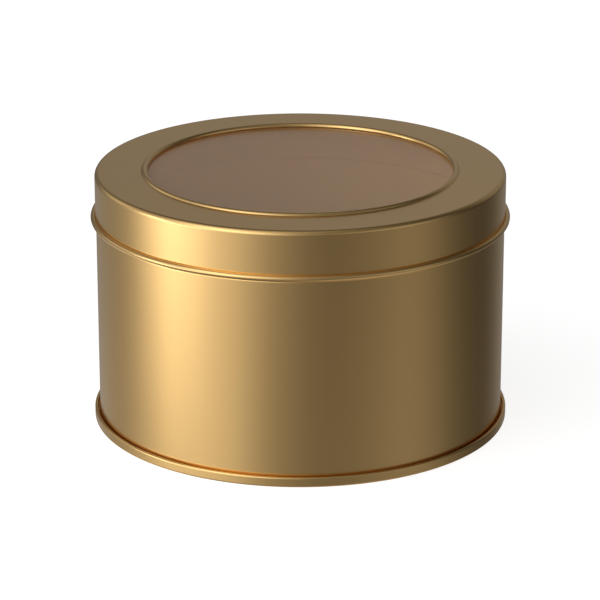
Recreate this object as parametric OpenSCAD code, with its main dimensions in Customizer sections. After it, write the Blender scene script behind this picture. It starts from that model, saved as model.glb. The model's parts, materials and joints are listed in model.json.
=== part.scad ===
// Round slip-lid candle tin in gold-lacquered tinplate, with a clear window in the lid.
// Millimetres, +Z up, origin at the centre of the face it stands on.
// The body is a rolled wall with a necked-in mouth, closed by a base plate whose edge is hemmed round the wall's flange.
// The lid is one pressed sheet with a raised bead round the window and a curl along the edge of its skirt.

/* [Overall] */
// Outside diameter of the lid's skirt
lid_d = 80; // [50:0.5:120]
// Height of the closed tin, measured to the flat ring of the lid
tin_h = 50.1; // [25:0.1:120]
// Thickness of the tinplate
sheet = 0.25; // [0.18:0.01:0.4]

/* [Body] */
// Outside diameter of the body wall
body_d = 79.72; // [50:0.01:119]
// Outside diameter of the neck that the lid slips over
neck_d = 79.1; // [49:0.01:118]
// Height where the wall starts to step in to the neck
shoulder_z = 40.05; // [15:0.05:110]
// Width of the rolled edge at the mouth
mouth_roll_w = 1.2; // [0.8:0.05:2]
// Straight height of the rolled edge at the mouth
mouth_roll_straight = 1.0; // [0.2:0.1:3]
// Gap under the lid's ring when the lid is fully down
lid_rest_gap = 0.05; // [0.02:0.01:0.2]
// Width of the side seam
seam_w = 3.2; // [2:0.1:5]
// How far the side seam stands proud of the wall
seam_proud = 0.12; // [0.05:0.01:0.2]
// Direction of the side seam, anticlockwise from +X
seam_angle = 28; // [-180:1:180]

/* [Base] */
// Outside diameter of the base rim
rim_d = 81.72; // [51:0.01:121]
// Height of the base rim
rim_h = 1.99; // [1.2:0.01:4]
// Thickness of the hemmed rim
rim_t = 0.7; // [0.5:0.05:1.2]
// Rounding of the rim's lower corner
rim_round = 0.32; // [0.26:0.01:0.6]
// Height of the recessed base panel above the ground
panel_z = 1.45; // [0.6:0.05:3]
// Radius of the step stamped in the base panel
panel_step_r = 33; // [15:0.5:37]
// Height of the step stamped in the base panel
panel_step_h = 0.5; // [0.2:0.05:0.7]
// Height of the wall's lower flange above the ground
flange_z = 0.45; // [0.3:0.01:0.8]

/* [Lid] */
// Outside rounding of the lid's top edge
edge_round = 0.9; // [0.4:0.05:3]
// Radius of the curl along the skirt's edge
curl_r = 0.58; // [0.4:0.01:1]
// Height of the curl's centre above the ground
curl_z = 41.1; // [20:0.05:110]

/* [Window] */
// Radius of the opening inside the bead
window_r = 29.63; // [10:0.01:36]
// Outside radius of the bead's cross-section
bead_r = 0.62; // [0.4:0.01:1.5]
// Height of the bead above the lid's ring
bead_h = 0.5; // [0.1:0.02:0.7]
// Radius of the clear pane
pane_r = 33; // [12:0.1:38]
// Thickness of the clear pane
pane_t = 0.3; // [0.15:0.05:1]
// Inner radius of the ring that holds the pane up
retainer_r = 31.6; // [12:0.1:37]
// Outer radius of the ring that holds the pane up
retainer_outer_r = 37.6; // [14:0.1:38]

/* [Hidden] */
$fn = 360;

gold = [0.80, 0.63, 0.36];
gold_inside = [0.74, 0.58, 0.36];
clear = [0.90, 0.93, 0.94, 0.3];
compound = [0.62, 0.60, 0.56];

body_r = body_d / 2;
neck_r = neck_d / 2;
lid_r = lid_d / 2;
rim_r = rim_d / 2;
ring_under = tin_h - sheet;
mouth_z = ring_under - lid_rest_gap;
hem_r = rim_t / 2;
flange_bend = 0.2;
flange_r = rim_r - sheet - 0.06;
chuck_r = body_r - sheet - 0.05;
panel_bend = 0.25;
bead_c_r = window_r + bead_r;
bead_c_z = tin_h + bead_h - bead_r;
shoulder_h = 0.55;
pane_top = ring_under - 0.01;

// A part of a bent sheet: the ring between two radii about [r, z], from angle a0 to a1.
module bend(r, z, r_in, r_out, a0, a1) {
    n = ceil((a1 - a0) / 80);
    s = (a1 - a0) / n;
    far = 2 * r_out;
    intersection() {
        translate([r, z]) difference() {
            circle(r_out);
            if (r_in > 0) circle(r_in);
        }
        union() for (i = [0 : n - 1])
            translate([r, z]) polygon([
                [0, 0],
                [far * cos(a0 + i * s), far * sin(a0 + i * s)],
                [far * cos(a0 + (i + 1) * s), far * sin(a0 + (i + 1) * s)]
            ]);
    }
}

// A level stretch of sheet from r0 to r1, its underside at z.
module level(r0, r1, z, t = sheet) {
    translate([r0, z]) square([r1 - r0, t]);
}

// An upright stretch of sheet, its outer face at r.
module upright(r, z0, z1, t = sheet) {
    translate([r - t, z0]) square([t, z1 - z0]);
}

// An upright sheet from z0 to z1 that steps in from outer face r0 to outer face r1 between za and zb.
module stepped_wall(r0, r1, z0, za, zb, z1) {
    polygon([[r0, z0], [r0, za], [r1, zb], [r1, z1],
             [r1 - sheet, z1], [r1 - sheet, zb], [r0 - sheet, za], [r0 - sheet, z0]]);
}

// A level sheet from r0 to r1, its underside stepping from za to zb between ra and rb.
module stepped_level(r0, ra, rb, r1, za, zb) {
    polygon([[r0, za], [ra, za], [rb, zb], [r1, zb],
             [r1, zb + sheet], [rb, zb + sheet], [ra, za + sheet], [r0, za + sheet]]);
}

// Rolled sheet wall: flanged out at the foot, necked in near the top, its edge rolled inwards at the mouth.
module body_wall() {
    roll_r = mouth_roll_w / 2;
    roll_c = neck_r - roll_r;
    top_c = mouth_z - roll_r;
    low_c = top_c - mouth_roll_straight;
    color(gold) {
        rotate_extrude() {
            level(body_r + flange_bend, flange_r, flange_z);
            bend(body_r + flange_bend, flange_z + sheet + flange_bend, flange_bend, flange_bend + sheet, 180, 270);
            stepped_wall(body_r, neck_r, flange_z + sheet + flange_bend, shoulder_z, shoulder_z + shoulder_h, top_c);
            bend(roll_c, top_c, roll_r - sheet, roll_r, 0, 180);
            upright(roll_c - roll_r + sheet, low_c, top_c);
            bend(roll_c, low_c, roll_r - sheet, roll_r, 180, 298);
        }
        // the side seam, a flat strip where the two ends of the sheet are folded together
        rotate([0, 0, seam_angle]) intersection() {
            rotate_extrude() upright(body_r + seam_proud, rim_h - 0.9, shoulder_z - 0.35, sheet);
            translate([body_r - 5, -seam_w / 2, 0]) cube([10, seam_w, tin_h]);
        }
    }
}

// Pressed base: a recessed panel with a stamped step, and a rim hemmed over the wall's flange.
module base_plate() {
    out_c = rim_r - rim_round;
    hem_c = rim_r - hem_r;
    hem_z = rim_h - hem_r;
    foot_bend = 0.1;
    color(gold) rotate_extrude() {
        stepped_level(0, panel_step_r, panel_step_r + 0.7, chuck_r - sheet - panel_bend, panel_z + panel_step_h, panel_z);
        bend(chuck_r - sheet - panel_bend, panel_z - panel_bend, panel_bend, panel_bend + sheet, 0, 90);
        upright(chuck_r, sheet + foot_bend, panel_z - panel_bend);
        bend(chuck_r + foot_bend, sheet + foot_bend, foot_bend, foot_bend + sheet, 180, 270);
        level(chuck_r + foot_bend, out_c, 0);
        bend(out_c, rim_round, rim_round - sheet, rim_round, 270, 360);
        upright(rim_r, rim_round, hem_z);
        bend(hem_c, hem_z, hem_r - sheet, hem_r, 0, 180);
        upright(rim_r - rim_t + sheet, flange_z + sheet + 0.01, hem_z);
    }
}

// Ring of sealing compound under the wall's flange.
module base_seal() {
    color(compound) rotate_extrude()
        level(body_r + 0.1, rim_r - sheet - 0.04, sheet + 0.01, flange_z - sheet - 0.02);
}

// Pressed lid: curl, skirt, rounded edge, flat ring, and the raised bead that turns down onto the pane.
module lid_shell() {
    curl_c = lid_r - sheet + curl_r;
    edge_c = lid_r - edge_round;
    color(gold) rotate_extrude() {
        bend(curl_c, curl_z, curl_r - sheet, curl_r, 180, 478);
        upright(lid_r, curl_z, tin_h - edge_round);
        bend(edge_c, tin_h - edge_round, edge_round - sheet, edge_round, 0, 90);
        level(bead_c_r + bead_r - sheet, edge_c, ring_under);
        bend(bead_c_r, bead_c_z, bead_r - sheet, bead_r, 0, 180);
        upright(window_r + sheet, ring_under + 0.02, bead_c_z);
    }
}

// Clear disc under the lid's opening.
module window_pane() {
    color(clear) translate([0, 0, pane_top - pane_t]) cylinder(r = pane_r, h = pane_t);
}

// Pressed ring: its inner land holds the pane up, its outer land is bonded under the lid's ring.
module window_retainer() {
    land_z = pane_top - pane_t - 0.01 - sheet;
    up = ring_under - 0.01 - sheet - land_z;
    color(gold_inside) rotate_extrude()
        stepped_level(retainer_r, pane_r + 0.25, pane_r + 0.95, retainer_outer_r, land_z, land_z + up);
}

body_wall();
base_plate();
base_seal();
lid_shell();
window_pane();
window_retainer();
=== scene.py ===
import bpy
import json
import math
from mathutils import Matrix, Vector


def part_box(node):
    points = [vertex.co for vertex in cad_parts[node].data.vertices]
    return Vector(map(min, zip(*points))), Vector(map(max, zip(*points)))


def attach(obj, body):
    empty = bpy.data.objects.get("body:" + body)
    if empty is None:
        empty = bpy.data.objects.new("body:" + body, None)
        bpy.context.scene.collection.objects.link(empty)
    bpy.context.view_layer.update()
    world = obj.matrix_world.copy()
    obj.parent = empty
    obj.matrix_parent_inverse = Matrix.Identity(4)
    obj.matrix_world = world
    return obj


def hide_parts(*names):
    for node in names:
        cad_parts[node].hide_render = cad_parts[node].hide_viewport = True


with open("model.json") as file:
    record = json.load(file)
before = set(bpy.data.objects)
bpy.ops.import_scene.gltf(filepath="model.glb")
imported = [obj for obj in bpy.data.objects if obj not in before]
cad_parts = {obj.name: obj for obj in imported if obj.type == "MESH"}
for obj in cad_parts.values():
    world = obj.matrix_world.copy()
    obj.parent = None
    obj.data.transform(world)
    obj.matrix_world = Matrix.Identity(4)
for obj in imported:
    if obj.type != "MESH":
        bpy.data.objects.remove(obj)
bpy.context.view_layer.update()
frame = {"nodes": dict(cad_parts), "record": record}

MM = 0.001
SHEET = 0.25                     # tinplate thickness
TURNS = 320                      # sides of every turned mesh


# ------------------------------------------------------------------ sizes, the outer ones read from the imported frame, the rest given
def mm(v):
    return v / MM


body_lo, body_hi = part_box("body_wall")
base_lo, base_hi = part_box("base_plate")
lid_lo, lid_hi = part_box("lid_shell")
pane_lo, pane_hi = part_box("window_pane")
ret_lo, ret_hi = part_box("window_retainer")
seal_lo, seal_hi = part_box("base_seal")
mouth = [m for m in frame["record"]["mounts"] if m["name"] == "mouth"][0]

RIM_R = mm(base_hi.x)
BODY_R = RIM_R - 1.0
NECK_R = BODY_R - 0.31
MOUTH_Z = mm(body_hi.z)
MOUTH_R = mouth["dims"]["r_mm"]
CURL_R = 0.58
LID_R = mm(lid_hi.x) - 2 * CURL_R + SHEET
CURL_Z = mm(lid_lo.z) + CURL_R
BEAD_R = 0.62
BEAD_H = 0.5
RING_Z = mm(lid_hi.z) - BEAD_H
RIM_H = 1.99
PANE_R = mm(pane_hi.x)
PANE_TOP = mm(pane_hi.z)
PANE_LOW = mm(pane_lo.z)
SHOULDER_Z = 40.05
WINDOW_R = PANE_R - 3.37
SEAM_ANGLE = math.radians(28)
FILM_ROUGH = 0.12
FILM_HAZE = 0.17


# ------------------------------------------------------------------ turned sheet metal
class Path:
    """The centre line of a bent sheet, as points with unit tangents in the (r, z) plane, in millimetres."""

    def __init__(self, r, z, heading):
        self.pts = []
        self.r, self.z, self.a = r, z, math.radians(heading)
        self._add()

    def _add(self):
        self.pts.append((self.r, self.z, math.cos(self.a), math.sin(self.a)))

    def line(self, length, n=1):
        for _ in range(n):
            self.r += math.cos(self.a) * length / n
            self.z += math.sin(self.a) * length / n
            self._add()
        return self

    def arc(self, radius, degrees, step=7.0):
        """Turns left by degrees if positive, right if negative, about a centre that far away."""
        n = max(2, int(math.ceil(abs(degrees) / step)))
        d = math.radians(degrees) / n
        side = 1 if degrees > 0 else -1
        cr = self.r - side * radius * math.sin(self.a)
        cz = self.z + side * radius * math.cos(self.a)
        for _ in range(n):
            self.a += d
            self.r = cr + side * radius * math.sin(self.a)
            self.z = cz - side * radius * math.cos(self.a)
            self._add()
        return self

    def jog(self, radius, offset, side):
        """An S-bend that moves the line sideways by offset (side +1 left, -1 right) and leaves its heading as it was."""
        a = math.degrees(math.acos(1 - offset / (2 * radius)))
        self.arc(radius, side * a, 5).arc(radius, -side * a, 5)
        return self

    def loop(self, t=SHEET, cap=5, open_start=False):
        """The closed outline of a sheet of thickness t along the line, with rounded ends, as (r, z, normal r, normal z)."""
        h = t / 2
        left = [(r - tz * h, z + tr * h, -tz, tr) for r, z, tr, tz in self.pts]
        right = [(r + tz * h, z - tr * h, tz, -tr) for r, z, tr, tz in self.pts]

        def end(r, z, ar, az):
            # half circle from the normal (ar, az) clockwise
            out = []
            for i in range(1, cap):
                q = -math.pi * i / cap
                nr = ar * math.cos(q) - az * math.sin(q)
                nz = ar * math.sin(q) + az * math.cos(q)
                out.append((r + nr * h, z + nz * h, nr, nz))
            return out

        r, z, tr, tz = self.pts[-1]
        far = end(r, z, -tz, tr)
        r, z, tr, tz = self.pts[0]
        near = [] if open_start else end(r, z, tz, -tr)
        return left + far + right[::-1] + near


def clean(loop, closed=True):
    out = []
    for p in loop:
        if not out or math.hypot(p[0] - out[-1][0], p[1] - out[-1][1]) > 1e-5:
            out.append(p)
    if closed and math.hypot(out[0][0] - out[-1][0], out[0][1] - out[-1][1]) < 1e-5:
        out.pop()
    return out


def turned(name, loop, angles=None, bump=None):
    """A closed outline turned about Z into a named mesh object with exact normals. Points on the axis become one vertex."""
    loop = clean(loop)
    area = sum(a[0] * b[1] - b[0] * a[1] for a, b in zip(loop, loop[1:] + loop[:1]))
    if area < 0:
        loop = loop[::-1]
    if angles is None:
        angles = [2 * math.pi * i / TURNS for i in range(TURNS)]
    n = len(angles)
    verts, normals, rows = [], [], []
    for r, z, nr, nz in loop:
        if r < 1e-6:
            rows.append([len(verts)] * n)
            verts.append((0, 0, z * MM))
            normals.append((0, 0, 1 if nz > 0 else -1))
            continue
        row = []
        for a in angles:
            rr, tilt = r, 0.0
            if bump is not None:
                rr, tilt = bump(r, z, nr, a)
            row.append(len(verts))
            c, s = math.cos(a), math.sin(a)
            verts.append((rr * c * MM, rr * s * MM, z * MM))
            v = Vector((nr * c + tilt * s, nr * s - tilt * c, nz))
            normals.append(tuple(v.normalized()))
        rows.append(row)
    faces = []
    for i in range(len(rows)):
        a, b = rows[i], rows[(i + 1) % len(rows)]
        if a[0] == a[1] and b[0] == b[1]:
            continue
        for j in range(n):
            k = (j + 1) % n
            f = [a[j], a[k], b[k], b[j]]
            f = [x for q, x in enumerate(f) if x != f[q - 1]]
            if len(f) > 2:
                faces.append(f)
    mesh = bpy.data.meshes.new(name)
    mesh.from_pydata(verts, [], faces)
    mesh.polygons.foreach_set("use_smooth", [True] * len(mesh.polygons))
    mesh.normals_split_custom_set_from_vertices(normals)
    mesh.update()
    obj = bpy.data.objects.new(name, mesh)
    bpy.context.scene.collection.objects.link(obj)
    return obj


# ------------------------------------------------------------------ tin body
def seam_angles():
    """Even angles all round, with a finer set across the side seam."""
    out = [2 * math.pi * i / TURNS for i in range(TURNS)]
    fine = []
    for edge in (-1.6, 1.6):
        for k in range(-6, 7):
            fine.append(SEAM_ANGLE + (edge + k * 0.04) / BODY_R)
    keep = [a for a in out if all(abs(a - f) > 0.006 for f in fine)]
    return sorted(keep + fine)


def seam_bump(r, z, nr, a):
    """The folded strip: 0.12 mm proud of the outside between the rim and the shoulder, with rolled edges."""
    d = ((a - SEAM_ANGLE + math.pi) % (2 * math.pi) - math.pi) * BODY_R
    if nr > 0.9 and r > BODY_R - 0.02:
        w = 0.2
        t = (1.6 - abs(d)) / w + 0.5
        t = min(max(t, 0.0), 1.0)
        s = t * t * (3 - 2 * t)
        slope = 6 * t * (1 - t) / w
        k = min(max((z - 2.2) / 0.5, 0), 1) * min(max((SHOULDER_Z - 0.1 - z) / 0.5, 0), 1)
        return r + 0.12 * s * k, (0.12 * slope * k) * (-1 if d > 0 else 1)
    return r, 0.0


half = SHEET / 2
flange_end = RIM_R - SHEET - 0.06
flange_z = 0.45
wall = Path(flange_end - half, flange_z + half, 180)
wall.line(flange_end - half - BODY_R - 0.2)
wall.arc(0.2 + half, -90, 9)
wall.line(1.3)
wall.line(0.5)
wall.line(SHOULDER_Z - 0.6 - wall.z)
wall.line(0.6)
wall.jog(0.6, BODY_R - NECK_R, 1)
roll_r = (NECK_R - MOUTH_R) / 2
wall.line(MOUTH_Z - roll_r - wall.z)
wall.arc(roll_r - half, 180, 7)
wall.line(1.0)
wall.arc(roll_r - half, 112, 7)
tin_wall = turned("tin_wall", wall.loop(), seam_angles(), seam_bump)

PANEL_Z = 1.45
chuck_r = BODY_R - SHEET - 0.05
hem_r = 0.35
base = Path(0, PANEL_Z + 0.5 + half, 0)
base.line(32.7)
base.jog(0.7, 0.5, -1)
base.line(chuck_r - SHEET - 0.25 - base.r)
base.arc(0.25 + half, -90, 9)
base.line(base.z - SHEET - 0.1)
base.arc(0.1 + half, 90, 11)
base.line(RIM_R - 0.32 - base.r)
base.arc(0.32 - half, 90, 9)
base.line(RIM_H - hem_r - base.z)
base.arc(hem_r - half, 180, 9)
base.line(base.z - flange_z - SHEET - half - 0.01)
base_rim = turned("base_rim", base.loop(open_start=True))

seal_top, seal_bot = mm(seal_hi.z), mm(seal_lo.z)
s_in, s_out = BODY_R + 0.1, mm(seal_hi.x)
sealp = Path(s_in + 0.08, (seal_top + seal_bot) / 2, 0).line(s_out - s_in - 0.16)
base_gasket = turned("base_gasket", sealp.loop(seal_top - seal_bot))

# ------------------------------------------------------------------ lid
curl_c = LID_R - SHEET + CURL_R
lid = Path(curl_c + (CURL_R - half) * math.cos(math.radians(118)),
           CURL_Z + (CURL_R - half) * math.sin(math.radians(118)), 28)
lid.arc(CURL_R - half, -298, 7)
lid.line(RING_Z - 0.9 - lid.z)
lid.arc(0.9 - half, 90, 5)
bead_c_r = WINDOW_R + BEAD_R
fil = 0.3                        # hollow at the bead's outer foot
dz = fil + BEAD_R - BEAD_H
dr = math.sqrt((BEAD_R + fil) ** 2 - dz ** 2)
turn = 90 - math.degrees(math.atan2(dz, dr))
lid.line(lid.r - bead_c_r - dr)
lid.arc(fil + half, -turn, 5)
lid.arc(BEAD_R - half, turn + 90, 5)
lid.line(lid.z - (RING_Z - SHEET + 0.02 + half))
lid_top = turned("lid_top", lid.loop())

edge = 0.06
pane_loop = [(0, PANE_TOP, 0, 1), (PANE_R - edge, PANE_TOP, 0, 1)]
for i in range(1, 5):
    q = math.radians(90 - 90 * i / 4)
    pane_loop.append((PANE_R - edge + edge * math.cos(q), PANE_TOP - edge + edge * math.sin(q), math.cos(q), math.sin(q)))
for i in range(0, 5):
    q = math.radians(-90 * i / 4)
    pane_loop.append((PANE_R - edge + edge * math.cos(q), PANE_LOW + edge + edge * math.sin(q), math.cos(q), math.sin(q)))
pane_loop += [(0, PANE_LOW, 0, -1)]
clear_window = turned("clear_window", pane_loop)

land_z = mm(ret_lo.z) + half
up = mm(ret_hi.z) - half - land_z
ring = Path(31.6 + half, land_z, 0)
ring.line(PANE_R + 0.25 - ring.r)
ring.jog(0.4, up, 1)
ring.line(mm(ret_hi.x) - half - ring.r)
window_ring = turned("window_ring", ring.loop())


# ------------------------------------------------------------------ materials
def node(nt, kind, x=0, y=0, **values):
    n = nt.nodes.new(kind)
    n.location = (x, y)
    for k, v in values.items():
        setattr(n, k, v)
    return n


def gold(name, rough=0.24, tone=(0.80, 0.52, 0.21)):
    """Satin gold lacquer on tinplate: a metal whose gloss drifts a little over the sheet, with faint lacquer ripple."""
    m = bpy.data.materials.new(name)
    m.use_nodes = True
    nt = m.node_tree
    p = nt.nodes["Principled BSDF"]
    p.inputs["Metallic"].default_value = 1.0
    co = node(nt, "ShaderNodeTexCoord", -1200, 0)
    drift = node(nt, "ShaderNodeTexNoise", -900, 200)
    drift.inputs["Scale"].default_value = 38.0
    drift.inputs["Detail"].default_value = 2.0
    nt.links.new(co.outputs["Object"], drift.inputs["Vector"])
    ramp = node(nt, "ShaderNodeMapRange", -650, 200)
    ramp.inputs["To Min"].default_value = rough - 0.015
    ramp.inputs["To Max"].default_value = rough + 0.015
    nt.links.new(drift.outputs["Fac"], ramp.inputs["Value"])
    nt.links.new(ramp.outputs["Result"], p.inputs["Roughness"])
    hue = node(nt, "ShaderNodeMix", -350, 350, data_type="RGBA")
    a = tuple(c * 0.985 for c in tone)
    b = tuple(min(1, c * 1.015) for c in tone)
    hue.inputs["A"].default_value = (*a, 1)
    hue.inputs["B"].default_value = (*b, 1)
    nt.links.new(drift.outputs["Fac"], hue.inputs["Factor"])
    nt.links.new(hue.outputs["Result"], p.inputs["Base Color"])
    ripple = node(nt, "ShaderNodeTexNoise", -900, -200)
    ripple.inputs["Scale"].default_value = 900.0
    ripple.inputs["Detail"].default_value = 2.0
    nt.links.new(co.outputs["Object"], ripple.inputs["Vector"])
    bump = node(nt, "ShaderNodeBump", -350, -200)
    bump.inputs["Strength"].default_value = 0.06
    bump.inputs["Distance"].default_value = 0.000005
    nt.links.new(ripple.outputs["Fac"], bump.inputs["Height"])
    nt.links.new(bump.outputs["Normal"], p.inputs["Normal"])
    return m


def inner_lacquer(name, tone=(0.97, 0.71, 0.33), rough=0.85):
    """The inside of the tin: the same gold, matt and slightly mottled where the protective lacquer has dried, with
    painted shade that darkens it towards the bottom.
    """
    m = gold(name, rough, tone)
    for n in m.node_tree.nodes:
        if n.type == "BUMP":
            n.inputs["Distance"].default_value = 0.00002
        if n.type == "MAP_RANGE":
            n.inputs["To Min"].default_value = rough - 0.08
            n.inputs["To Max"].default_value = rough + 0.08
    nt = m.node_tree
    bsdf = nt.nodes["Principled BSDF"]
    colour = bsdf.inputs["Base Color"].links[0].from_socket
    co = node(nt, "ShaderNodeTexCoord", -900, 500)
    sep = node(nt, "ShaderNodeSeparateXYZ", -700, 500)
    nt.links.new(co.outputs["Object"], sep.inputs[0])
    painted_depth_shade = node(nt, "ShaderNodeMapRange", -500, 500)   # painted shade: darker towards the bottom of the tin, where less light reaches
    painted_depth_shade.inputs["From Min"].default_value = 0.024
    painted_depth_shade.inputs["From Max"].default_value = 0.046
    painted_depth_shade.inputs["To Min"].default_value = 0.86
    painted_depth_shade.inputs["To Max"].default_value = 1.0
    nt.links.new(sep.outputs["Z"], painted_depth_shade.inputs["Value"])
    # painted shade: lowers the inside colour's value with depth
    depth_shade_darken = node(nt, "ShaderNodeHueSaturation", -300, 500)
    nt.links.new(colour, depth_shade_darken.inputs["Color"])
    nt.links.new(painted_depth_shade.outputs["Result"], depth_shade_darken.inputs["Value"])
    nt.links.new(depth_shade_darken.outputs["Color"], bsdf.inputs["Base Color"])
    return m


def line_inside(obj, material, test):
    """Gives the faces for which test(r, z, outward part of the normal, upward part of the normal) is true the second material."""
    obj.data.materials.append(material)
    for f in obj.data.polygons:
        c = f.center
        r = math.hypot(c.x, c.y)
        out = (f.normal.x * c.x + f.normal.y * c.y) / max(r, 1e-9)
        if test(mm(r), mm(c.z), out, f.normal.z):
            f.material_index = 1


def clear(name):
    """Thin clear plastic film: lets most light straight through, with a faint even haze whose orange tint is painted
    warm light from the gold inside, and a soft sheen that grows at a shallow angle.
    """
    m = bpy.data.materials.new(name)
    m.use_nodes = True
    nt = m.node_tree
    nt.nodes.remove(nt.nodes["Principled BSDF"])
    out = nt.nodes["Material Output"]
    co = node(nt, "ShaderNodeTexCoord", -1200, 0)
    blotch = node(nt, "ShaderNodeTexNoise", -950, -150)
    blotch.inputs["Scale"].default_value = 45.0
    blotch.inputs["Detail"].default_value = 3.0
    nt.links.new(co.outputs["Object"], blotch.inputs["Vector"])
    rough = node(nt, "ShaderNodeMapRange", -700, -150)
    rough.inputs["To Min"].default_value = FILM_ROUGH - 0.02
    rough.inputs["To Max"].default_value = FILM_ROUGH + 0.02
    nt.links.new(blotch.outputs["Fac"], rough.inputs["Value"])
    haze = node(nt, "ShaderNodeMapRange", -700, -400)
    haze.inputs["To Min"].default_value = FILM_HAZE * 0.9
    haze.inputs["To Max"].default_value = FILM_HAZE * 1.1
    nt.links.new(blotch.outputs["Fac"], haze.inputs["Value"])
    lw = node(nt, "ShaderNodeLayerWeight", -950, 200)
    lw.inputs["Blend"].default_value = 0.5
    p5 = node(nt, "ShaderNodeMath", -700, 200, operation="POWER")
    p5.inputs[1].default_value = 5.0
    nt.links.new(lw.outputs["Facing"], p5.inputs[0])
    fac = node(nt, "ShaderNodeMath", -480, 200, operation="MULTIPLY_ADD")
    fac.inputs[1].default_value = 0.72
    fac.inputs[2].default_value = 0.035
    nt.links.new(p5.outputs[0], fac.inputs[0])
    through = node(nt, "ShaderNodeBsdfTransparent", -450, 50)
    through.inputs["Color"].default_value = (0.985, 0.985, 0.98, 1)
    # the film's haze, coloured orange as painted reflection of warm light thrown back from the gold inside
    haze_and_gold_bounce = node(nt, "ShaderNodeBsdfDiffuse", -450, -100)
    haze_and_gold_bounce.inputs["Color"].default_value = (0.95, 0.64, 0.28, 1)
    shine = node(nt, "ShaderNodeBsdfAnisotropic", -250, -250)
    shine.inputs["Color"].default_value = (1, 1, 1, 1)
    nt.links.new(rough.outputs["Result"], shine.inputs["Roughness"])
    veil = node(nt, "ShaderNodeMixShader", -200, 50)
    nt.links.new(haze.outputs["Result"], veil.inputs[0])
    nt.links.new(through.outputs[0], veil.inputs[1])
    nt.links.new(haze_and_gold_bounce.outputs[0], veil.inputs[2])
    mix = node(nt, "ShaderNodeMixShader", 0, 100)
    nt.links.new(fac.outputs[0], mix.inputs[0])
    nt.links.new(veil.outputs[0], mix.inputs[1])
    nt.links.new(shine.outputs[0], mix.inputs[2])
    nt.links.new(mix.outputs[0], out.inputs["Surface"])
    return m


def compound(name):
    """Matt sealing compound with a slightly lumpy surface."""
    m = bpy.data.materials.new(name)
    m.use_nodes = True
    nt = m.node_tree
    p = nt.nodes["Principled BSDF"]
    co = node(nt, "ShaderNodeTexCoord", -900, 0)
    lump = node(nt, "ShaderNodeTexNoise", -650, 0)
    lump.inputs["Scale"].default_value = 700.0
    nt.links.new(co.outputs["Object"], lump.inputs["Vector"])
    mix = node(nt, "ShaderNodeMix", -350, 150, data_type="RGBA")
    mix.inputs["A"].default_value = (0.42, 0.40, 0.36, 1)
    mix.inputs["B"].default_value = (0.55, 0.52, 0.47, 1)
    nt.links.new(lump.outputs["Fac"], mix.inputs["Factor"])
    nt.links.new(mix.outputs["Result"], p.inputs["Base Color"])
    p.inputs["Roughness"].default_value = 0.7
    bump = node(nt, "ShaderNodeBump", -350, -150)
    bump.inputs["Distance"].default_value = 0.00003
    nt.links.new(lump.outputs["Fac"], bump.inputs["Height"])
    nt.links.new(bump.outputs["Normal"], p.inputs["Normal"])
    return m


gold_mat = gold("gold_tinplate")
clear_mat = clear("clear_pane")
comp_mat = compound("seam_compound")
for o, m, s in ((tin_wall, gold_mat, "gold_tinplate"), (base_rim, gold_mat, "gold_tinplate"), (lid_top, gold_mat, "gold_tinplate"),
                (window_ring, gold_mat, "gold_tinplate"), (clear_window, clear_mat, "clear_pane"), (base_gasket, comp_mat, "seam_compound")):
    o.data.materials.append(m)
inside_mat = inner_lacquer("gold_inside")
line_inside(tin_wall, inside_mat, lambda r, z, out, up: out < -0.2 and r < BODY_R and z < MOUTH_Z - roll_r)
line_inside(base_rim, inside_mat, lambda r, z, out, up: up > 0.2 and r < BODY_R - SHEET and z > 1.0)
line_inside(lid_top, inside_mat, lambda r, z, out, up: z < RING_Z + 0.2 and z > CURL_Z + CURL_R and r < LID_R - half and r > WINDOW_R + half and (up < -0.3 or out < -0.3))
line_inside(window_ring, inside_mat, lambda r, z, out, up: up < 0.3)
for n in ("body_wall", "base_plate", "lid_shell", "window_retainer"):
    frame["nodes"][n].data.materials.clear()
    frame["nodes"][n].data.materials.append(gold_mat)
frame["nodes"]["window_pane"].data.materials.clear()
frame["nodes"]["window_pane"].data.materials.append(clear_mat)
frame["nodes"]["base_seal"].data.materials.clear()
frame["nodes"]["base_seal"].data.materials.append(comp_mat)

for o, b, n in ((tin_wall, "tin_body", "body_wall"), (base_rim, "tin_body", "base_plate"), (base_gasket, "tin_body", "base_seal"),
                (lid_top, "lid", "lid_shell"), (clear_window, "lid", "window_pane"), (window_ring, "lid", "window_retainer")):
    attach(o, b)
    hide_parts(n)


# ------------------------------------------------------------------ stage
def stage_floor():
    mesh = bpy.data.meshes.new("floor")
    r, n = 6.0, 96
    verts = [(0, 0, 0)] + [(r * math.cos(2 * math.pi * i / n), r * math.sin(2 * math.pi * i / n), 0) for i in range(n)]
    mesh.from_pydata(verts, [], [(0, i + 1, (i + 1) % n + 1) for i in range(n)])
    obj = bpy.data.objects.new("floor", mesh)
    obj.location = (0, 0, -0.00002)
    bpy.context.scene.collection.objects.link(obj)
    m = bpy.data.materials.new("pale_floor")
    m.use_nodes = True
    p = m.node_tree.nodes["Principled BSDF"]
    p.inputs["Base Color"].default_value = (0.50, 0.50, 0.50, 1)
    p.inputs["Roughness"].default_value = 0.9
    p.inputs["Specular IOR Level"].default_value = 0.0
    p.inputs["Emission Color"].default_value = (1, 1, 1, 1)
    p.inputs["Emission Strength"].default_value = 0.84
    mesh.materials.append(m)
    obj.visible_glossy = False
    obj.visible_diffuse = False
    obj.visible_shadow = False
    obj.visible_transmission = True
    return obj


floor = stage_floor()


def towards(az, el):
    """Unit vector to a place seen from the tin: az 0 is towards the camera's side (-Y), positive to the right (+X)."""
    a, e = math.radians(az), math.radians(el)
    return Vector((math.sin(a) * math.cos(e), -math.cos(a) * math.cos(e), math.sin(e)))


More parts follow.
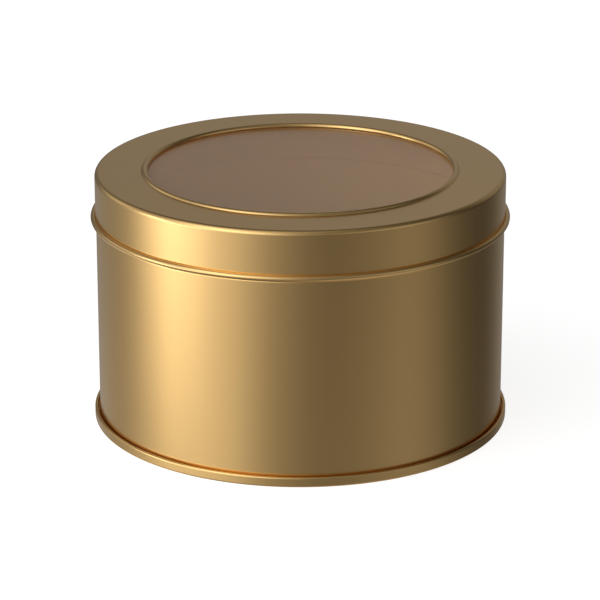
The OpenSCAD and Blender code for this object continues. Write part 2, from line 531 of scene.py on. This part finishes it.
def surround(lobes, base):
    """The studio: a dim even surround with broad soft glows."""
    w = bpy.data.worlds.new("studio")
    bpy.context.scene.world = w
    w.use_nodes = True
    nt = w.node_tree
    nt.nodes.clear()
    out = nt.nodes.new("ShaderNodeOutputWorld")
    bg = nt.nodes.new("ShaderNodeBackground")
    co = nt.nodes.new("ShaderNodeTexCoord")
    total = None
    for az, el, sigma, power in lobes:
        k = 1 / math.radians(sigma) ** 2
        dot = nt.nodes.new("ShaderNodeVectorMath")
        dot.operation = "DOT_PRODUCT"
        dot.inputs[1].default_value = towards(az, el)
        nt.links.new(co.outputs["Generated"], dot.inputs[0])
        arg = nt.nodes.new("ShaderNodeMath")
        arg.operation = "MULTIPLY_ADD"
        arg.inputs[1].default_value = k
        arg.inputs[2].default_value = -k
        nt.links.new(dot.outputs["Value"], arg.inputs[0])
        ex = nt.nodes.new("ShaderNodeMath")
        ex.operation = "EXPONENT"
        nt.links.new(arg.outputs[0], ex.inputs[0])
        add = nt.nodes.new("ShaderNodeMath")
        add.operation = "MULTIPLY_ADD"
        add.inputs[1].default_value = power
        nt.links.new(ex.outputs[0], add.inputs[0])
        if total is None:
            add.inputs[2].default_value = base
        else:
            nt.links.new(total, add.inputs[2])
        total = add.outputs[0]
    nt.links.new(total, bg.inputs["Strength"])
    bg.inputs["Color"].default_value = (1, 1, 1, 1)
    nt.links.new(bg.outputs[0], out.inputs["Surface"])
    return w


# azimuth, elevation, spread in degrees, brightness
surround([(0, 85, 24, 0.23), (-60, 48, 18, 1.2), (-118, 18, 16, 0.68), (-45, 18, 16, 1.8), (-22, 18, 16, 0.58), (32, 18, 16, 0.27),
          (64, 18, 16, 0.37), (140, 18, 16, 0.22), (180, 18, 16, 0.26), (-86, 10, 6, 3.7), (-95, -10, 6, 0.81), (-86, -10, 6, 1.3),
          (-77, -10, 6, 2.8), (-68, -10, 6, 1.7), (-59, -10, 6, 1.5), (-102, -20, 13, 0.3), (-46, -20, 13, 0.64),
          (-16, -20, 16, 0.19), (64, -20, 16, 0.13), (160, -20, 16, 0.16), (-150, -52, 20, 1.1), (30, -52, 20, 0.41),
          (90, -52, 20, 0.34)], 0.0)

cam = bpy.data.cameras.new("camera")
cam_obj = bpy.data.objects.new("camera", cam)
bpy.context.scene.collection.objects.link(cam_obj)
cam.sensor_width = 36.0
cam.lens = 36.0 * 3030.5 / 600.0
cam.clip_start = 0.01
cam.clip_end = 50.0
cam_obj.location = (-0.000058, -0.70580 * 0.8, 0.27574 * 0.8)
cam_obj.rotation_euler = (math.pi / 2 - 0.3367, 0, 0)
bpy.context.scene.camera = cam_obj
bpy.context.scene.view_settings.view_transform = "Standard"
bpy.context.scene.view_settings.look = "None"
bpy.context.scene.cycles.glossy_bounces = 8
